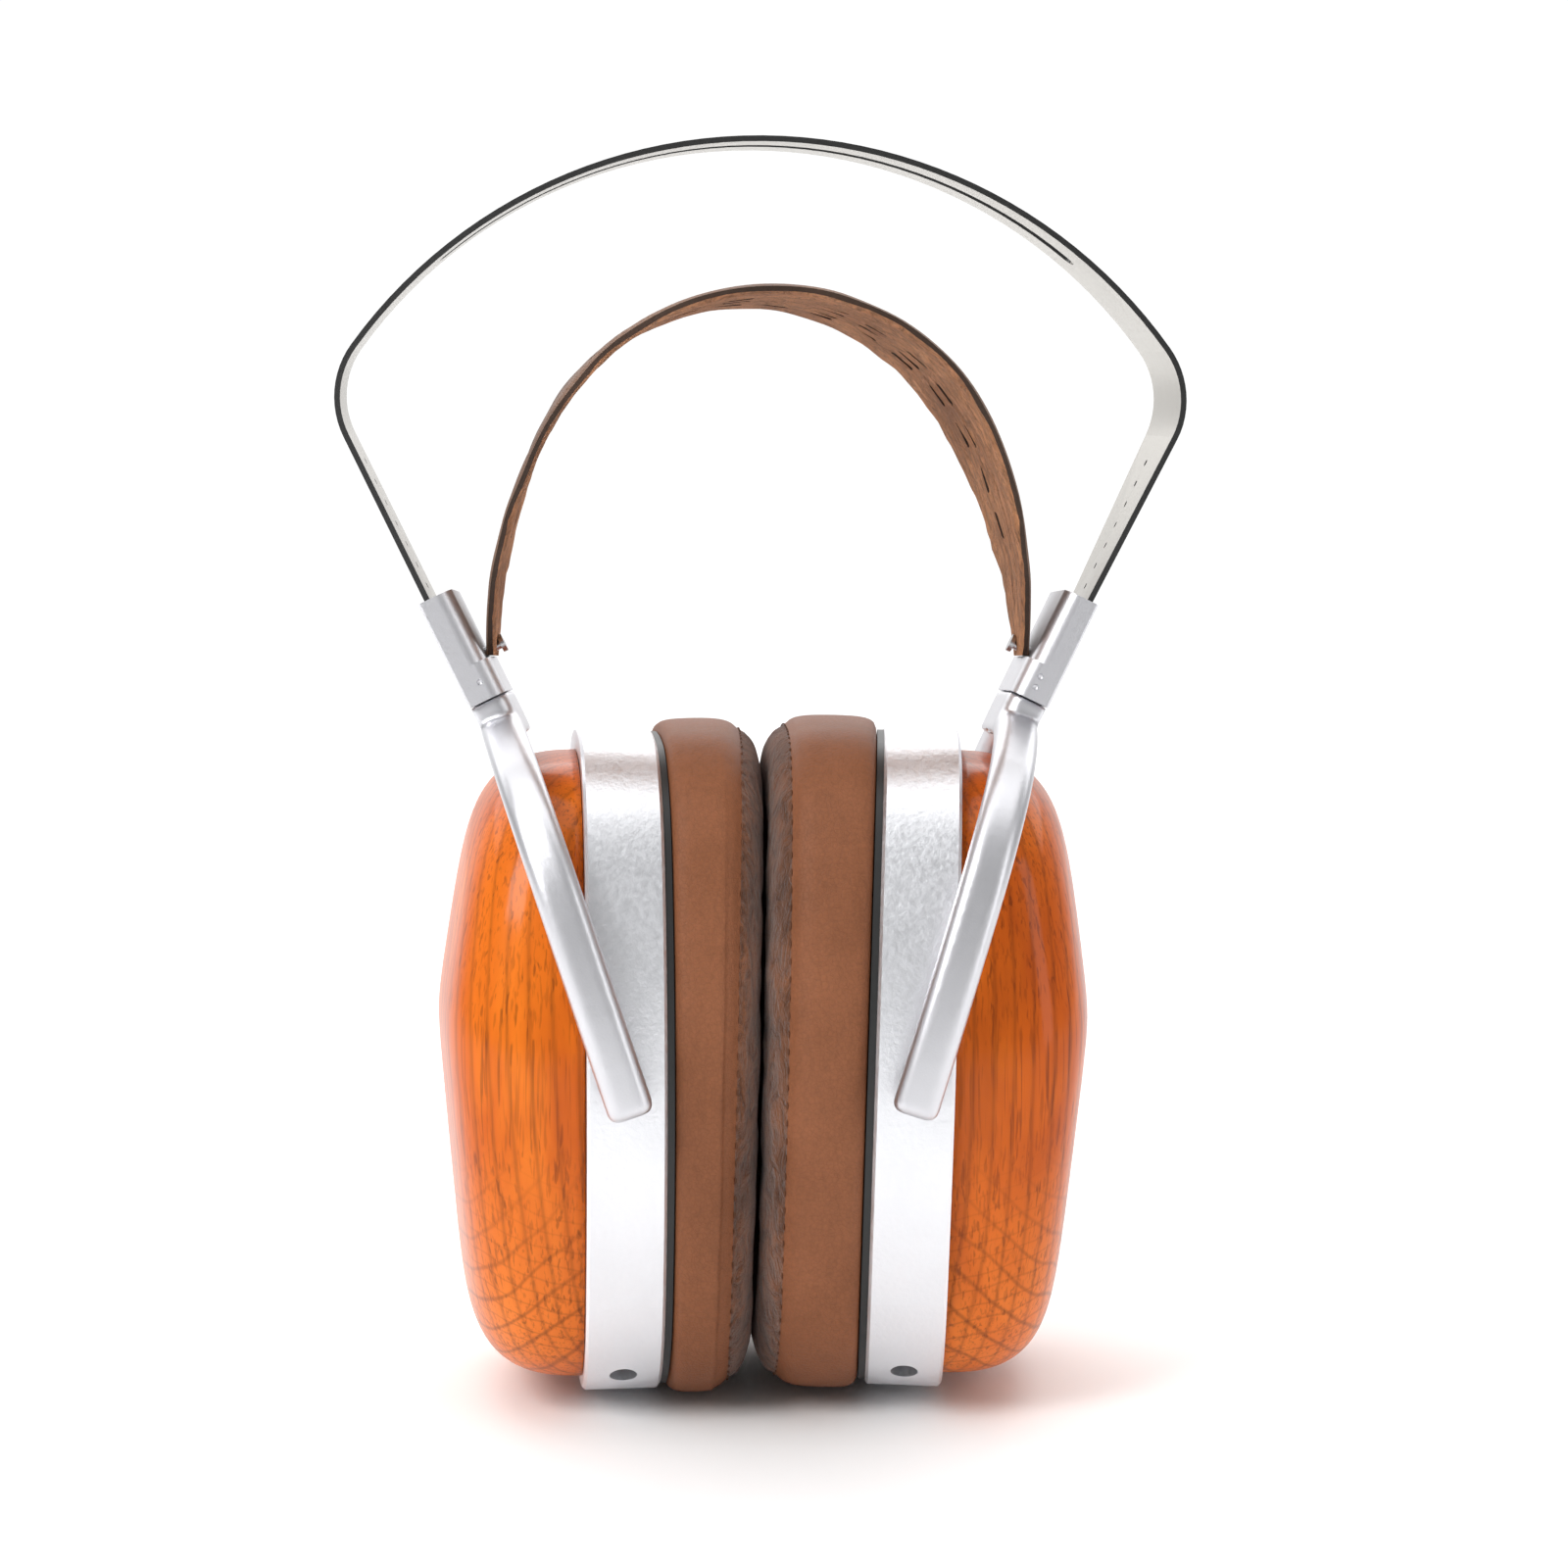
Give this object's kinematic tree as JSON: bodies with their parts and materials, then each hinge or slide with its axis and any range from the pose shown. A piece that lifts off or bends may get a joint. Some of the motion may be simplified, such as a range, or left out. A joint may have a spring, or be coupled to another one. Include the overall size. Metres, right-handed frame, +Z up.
{
  "type": "over-ear headphones",
  "caption": "Over-ear headphones: sprung steel band over a leather head strap, sliding sleeves, swivelling forks, tilting wooden cups with leather pads.",
  "frame": {"origin": "bottom centre of the bounding box, on the surface the cups stand on, midway between the two pads", "axes": "+X from the left cup to the right cup as seen from the front (sockets side, -Y), +Y to the back, +Z up to the crown of the band"},
  "size_m": [0.1474, 0.1096, 0.219],
  "materials": {
    "spring_steel": "bright spring steel, finely brushed",
    "strap_leather": "soft leather, matt, dark painted edges",
    "satin_aluminium": "satin anodised",
    "blasted_aluminium": "fine bead blasted, anodised",
    "screw_steel": "turned steel",
    "lacquered_wood": "orange-brown grained wood under gloss lacquer",
    "black_plastic": "matt moulded",
    "driver_film": "thin metallised film",
    "stator_steel": "black coated steel",
    "magnet_metal": "nickel plated",
    "felt": "pressed felt",
    "pad_leather": "smooth leather with a napped inner face",
    "bush_plastic": "low-friction plastic"
  },
  "bodies": {
    "headband": {"band": "spring_steel", "strap": "strap_leather"},
    "slider_left": {"sleeve_left": "satin_aluminium", "collar_left": "satin_aluminium", "strap_screw_left": "screw_steel", "swivel_screw_left": "screw_steel", "detent_ball_left": "screw_steel", "detent_spring_left": "screw_steel"},
    "fork_left": {"yoke_left": "satin_aluminium", "pivot_screws_left": "screw_steel"},
    "cup_left": {"cup_ring_left": "blasted_aluminium", "wood_cup_left": "lacquered_wood", "baffle_left": "black_plastic", "driver_frame_left": "black_plastic", "diaphragm_left": "driver_film", "stator_plate_left": "stator_steel", "magnets_left": "magnet_metal", "damping_felt_left": "felt", "pad_plate_left": "black_plastic", "ear_pad_left": "pad_leather", "jack_socket_left": "black_plastic", "pivot_bushes_left": "bush_plastic", "baffle_screws_left": "screw_steel"},
    "slider_right": {"sleeve_right": "satin_aluminium", "collar_right": "satin_aluminium", "strap_screw_right": "screw_steel", "swivel_screw_right": "screw_steel", "detent_ball_right": "screw_steel", "detent_spring_right": "screw_steel"},
    "fork_right": {"yoke_right": "satin_aluminium", "pivot_screws_right": "screw_steel"},
    "cup_right": {"cup_ring_right": "blasted_aluminium", "wood_cup_right": "lacquered_wood", "baffle_right": "black_plastic", "driver_frame_right": "black_plastic", "diaphragm_right": "driver_film", "stator_plate_right": "stator_steel", "magnets_right": "magnet_metal", "damping_felt_right": "felt", "pad_plate_right": "black_plastic", "ear_pad_right": "pad_leather", "jack_socket_right": "black_plastic", "pivot_bushes_right": "bush_plastic", "baffle_screws_right": "screw_steel"}
  },
  "joints": [
    {"name": "slide_left", "type": "slide", "parent": "headband", "child": "slider_left", "axis": [-0.4384, 0, 0.8988], "range_m": [0, 0.01215], "deforming": ["strap", "ear_pad_left", "ear_pad_right"]},
    {"name": "swivel_left", "type": "hinge", "parent": "slider_left", "child": "fork_left", "pos_m": [-0.04634, 0, 0.12111], "axis": [0.4384, 0, -0.8988], "range_deg": [-10, 10], "deforming": ["ear_pad_left", "ear_pad_right"]},
    {"name": "tilt_left", "type": "hinge", "parent": "fork_left", "child": "cup_left", "pos_m": [-0.027, 0, 0.06], "axis": [0.0715, -0.9974, 0], "range_deg": [-8, 8], "deforming": ["ear_pad_left", "ear_pad_right"]},
    {"name": "slide_right", "type": "slide", "parent": "headband", "child": "slider_right", "axis": [0.4384, 0, 0.8988], "range_m": [0, 0.01215], "deforming": ["strap", "ear_pad_left", "ear_pad_right"]},
    {"name": "swivel_right", "type": "hinge", "parent": "slider_right", "child": "fork_right", "pos_m": [0.04634, 0, 0.12111], "axis": [0.4384, 0, 0.8988], "range_deg": [-10, 10], "deforming": ["ear_pad_left", "ear_pad_right"]},
    {"name": "tilt_right", "type": "hinge", "parent": "fork_right", "child": "cup_right", "pos_m": [0.0284, 0, 0.06], "axis": [0.0715, 0.9974, 0], "range_deg": [-8, 5], "deforming": ["ear_pad_left", "ear_pad_right"]}
  ]
}
